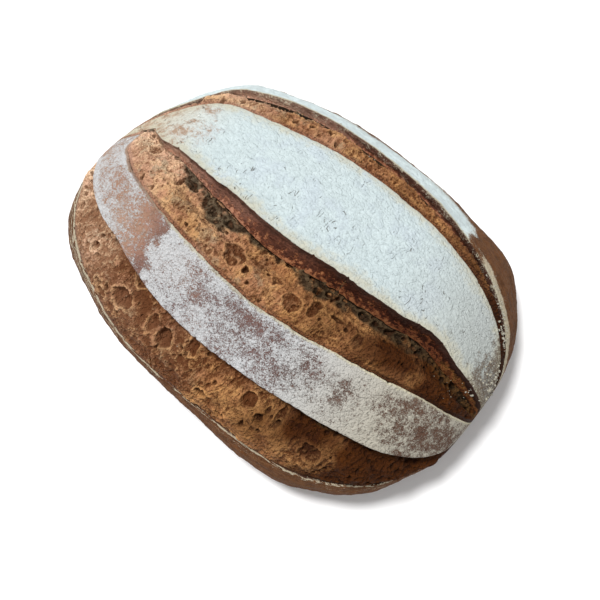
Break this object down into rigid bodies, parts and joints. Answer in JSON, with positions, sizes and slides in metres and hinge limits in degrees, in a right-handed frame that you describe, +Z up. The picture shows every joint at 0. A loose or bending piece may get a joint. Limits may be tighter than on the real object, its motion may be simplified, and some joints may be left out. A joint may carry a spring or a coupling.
{
  "type": "rye bread loaf",
  "caption": "Whole oval hearth loaf of rye bread, floured on top, with lengthwise cuts that have opened into torn brown crumb.",
  "frame": {"origin": "middle of the loaf's outline box, on the surface that it rests on", "axes": "+X along the loaf towards its blunt end, +Y across it, +Z up"},
  "size_m": [0.27, 0.199, 0.0891],
  "materials": {
    "crust": "dry baked brown crust, dull",
    "crumb": "torn, blistered and browned crumb",
    "flour": "fine baked-on flour, matt white"
  },
  "bodies": {
    "root": {"loaf": "crust"}
  },
  "joints": []
}
